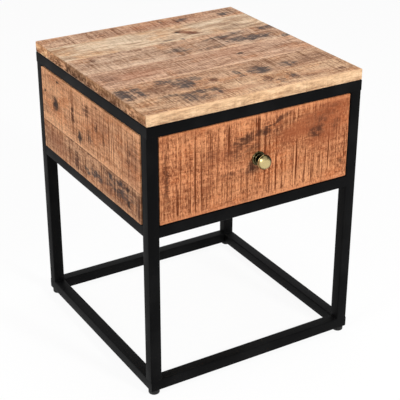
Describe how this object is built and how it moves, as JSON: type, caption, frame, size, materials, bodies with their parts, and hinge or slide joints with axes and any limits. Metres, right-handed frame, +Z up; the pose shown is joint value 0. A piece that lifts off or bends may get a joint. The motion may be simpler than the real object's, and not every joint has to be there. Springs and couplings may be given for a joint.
{
  "type": "side table with drawer",
  "caption": "Square side table: black steel tube frame, planked wooden top, boarded sides and one inset drawer with a knob on telescopic slides.",
  "frame": {"origin": "on the floor, at the middle of the whole footprint with the knob counted in", "axes": "+Z up, the drawer front faces -Y, +X to the right of someone facing the drawer"},
  "size_m": [0.403, 0.4292, 0.5],
  "materials": {
    "black_steel": "satin black powder coat",
    "black_nylon": "matt black nylon",
    "rough_sawn_top": "rough-sawn hardwood with saw marks, thin clear lacquer",
    "rough_sawn_sides": "rough-sawn hardwood with saw marks, thin clear lacquer",
    "rough_sawn_front": "rough-sawn hardwood with saw marks, thin clear lacquer",
    "drawer_box_wood": "planed hardwood",
    "plywood": "thin plywood",
    "zinc_steel": "zinc plated steel",
    "aged_brass": "aged brass"
  },
  "bodies": {
    "table": {"back_board_lower": "rough_sawn_sides", "back_board_tabs": "black_steel", "back_board_upper": "rough_sawn_sides", "bottom_rail_back": "black_steel", "bottom_rail_front": "black_steel", "bottom_rail_left": "black_steel", "bottom_rail_right": "black_steel", "foot_nuts": "zinc_steel", "left_board_lower": "rough_sawn_sides", "left_board_tabs": "black_steel", "left_board_upper": "rough_sawn_sides", "leg_back_left": "black_steel", "leg_back_right": "black_steel", "leg_front_left": "black_steel", "leg_front_right": "black_steel", "middle_rail_back": "black_steel", "middle_rail_front": "black_steel", "middle_rail_left": "black_steel", "middle_rail_right": "black_steel", "right_board_lower": "rough_sawn_sides", "right_board_tabs": "black_steel", "right_board_upper": "rough_sawn_sides", "slide_left_cabinet": "zinc_steel", "slide_right_cabinet": "zinc_steel", "top_board_1": "rough_sawn_top", "top_board_2": "rough_sawn_top", "top_board_3": "rough_sawn_top", "top_board_4": "rough_sawn_top", "top_board_5": "rough_sawn_top", "top_board_6": "rough_sawn_top", "top_corner_plates": "black_steel", "top_rail_back": "black_steel", "top_rail_front": "black_steel", "top_rail_left": "black_steel", "top_rail_right": "black_steel"},
    "drawer": {"drawer_back": "drawer_box_wood", "drawer_bottom": "plywood", "drawer_front": "rough_sawn_front", "drawer_inner_front": "drawer_box_wood", "drawer_side_left": "drawer_box_wood", "drawer_side_right": "drawer_box_wood", "knob": "aged_brass", "knob_rose": "aged_brass", "knob_screw": "zinc_steel", "slide_left_drawer": "zinc_steel", "slide_right_drawer": "zinc_steel"},
    "left_outer_cage_run": {"slide_left_outer_cage": "zinc_steel"},
    "left_middle_run": {"slide_left_middle": "zinc_steel"},
    "left_inner_cage_run": {"slide_left_inner_cage": "zinc_steel"},
    "right_outer_cage_run": {"slide_right_outer_cage": "zinc_steel"},
    "right_middle_run": {"slide_right_middle": "zinc_steel"},
    "right_inner_cage_run": {"slide_right_inner_cage": "zinc_steel"},
    "foot_front_left_body": {"foot_front_left": "black_nylon"},
    "foot_front_right_body": {"foot_front_right": "black_nylon"},
    "foot_back_left_body": {"foot_back_left": "black_nylon"},
    "foot_back_right_body": {"foot_back_right": "black_nylon"}
  },
  "joints": [
    {"name": "drawer_slide", "type": "slide", "parent": "table", "child": "drawer", "axis": [0, -1, 0], "range_m": [0, 0.28]},
    {"name": "left_outer_cage_run_slide", "type": "slide", "parent": "table", "child": "left_outer_cage_run", "axis": [0, -1, 0], "range_m": [0, 0.07]},
    {"name": "left_middle_run_slide", "type": "slide", "parent": "table", "child": "left_middle_run", "axis": [0, -1, 0], "range_m": [0, 0.14]},
    {"name": "left_inner_cage_run_slide", "type": "slide", "parent": "table", "child": "left_inner_cage_run", "axis": [0, -1, 0], "range_m": [0, 0.21]},
    {"name": "right_outer_cage_run_slide", "type": "slide", "parent": "table", "child": "right_outer_cage_run", "axis": [0, -1, 0], "range_m": [0, 0.07]},
    {"name": "right_middle_run_slide", "type": "slide", "parent": "table", "child": "right_middle_run", "axis": [0, -1, 0], "range_m": [0, 0.14]},
    {"name": "right_inner_cage_run_slide", "type": "slide", "parent": "table", "child": "right_inner_cage_run", "axis": [0, -1, 0], "range_m": [0, 0.21]},
    {"name": "foot_front_left_turn", "type": "hinge", "parent": "table", "child": "foot_front_left_body", "pos_m": [-0.19, -0.1769, 0.008], "axis": [0, 0, 1], "range_deg": [0, 1440]},
    {"name": "foot_front_right_turn", "type": "hinge", "parent": "table", "child": "foot_front_right_body", "pos_m": [0.19, -0.1769, 0.008], "axis": [0, 0, 1], "range_deg": [0, 1440]},
    {"name": "foot_back_left_turn", "type": "hinge", "parent": "table", "child": "foot_back_left_body", "pos_m": [-0.19, 0.2031, 0.008], "axis": [0, 0, 1], "range_deg": [0, 1440]},
    {"name": "foot_back_right_turn", "type": "hinge", "parent": "table", "child": "foot_back_right_body", "pos_m": [0.19, 0.2031, 0.008], "axis": [0, 0, 1], "range_deg": [0, 1440]}
  ],
  "couplings": [
    {"joint": "left_outer_cage_run_slide", "follows": "drawer_slide", "ratio": 0.25},
    {"joint": "left_middle_run_slide", "follows": "drawer_slide", "ratio": 0.5},
    {"joint": "left_inner_cage_run_slide", "follows": "drawer_slide", "ratio": 0.75},
    {"joint": "right_outer_cage_run_slide", "follows": "drawer_slide", "ratio": 0.25},
    {"joint": "right_middle_run_slide", "follows": "drawer_slide", "ratio": 0.5},
    {"joint": "right_inner_cage_run_slide", "follows": "drawer_slide", "ratio": 0.75}
  ]
}
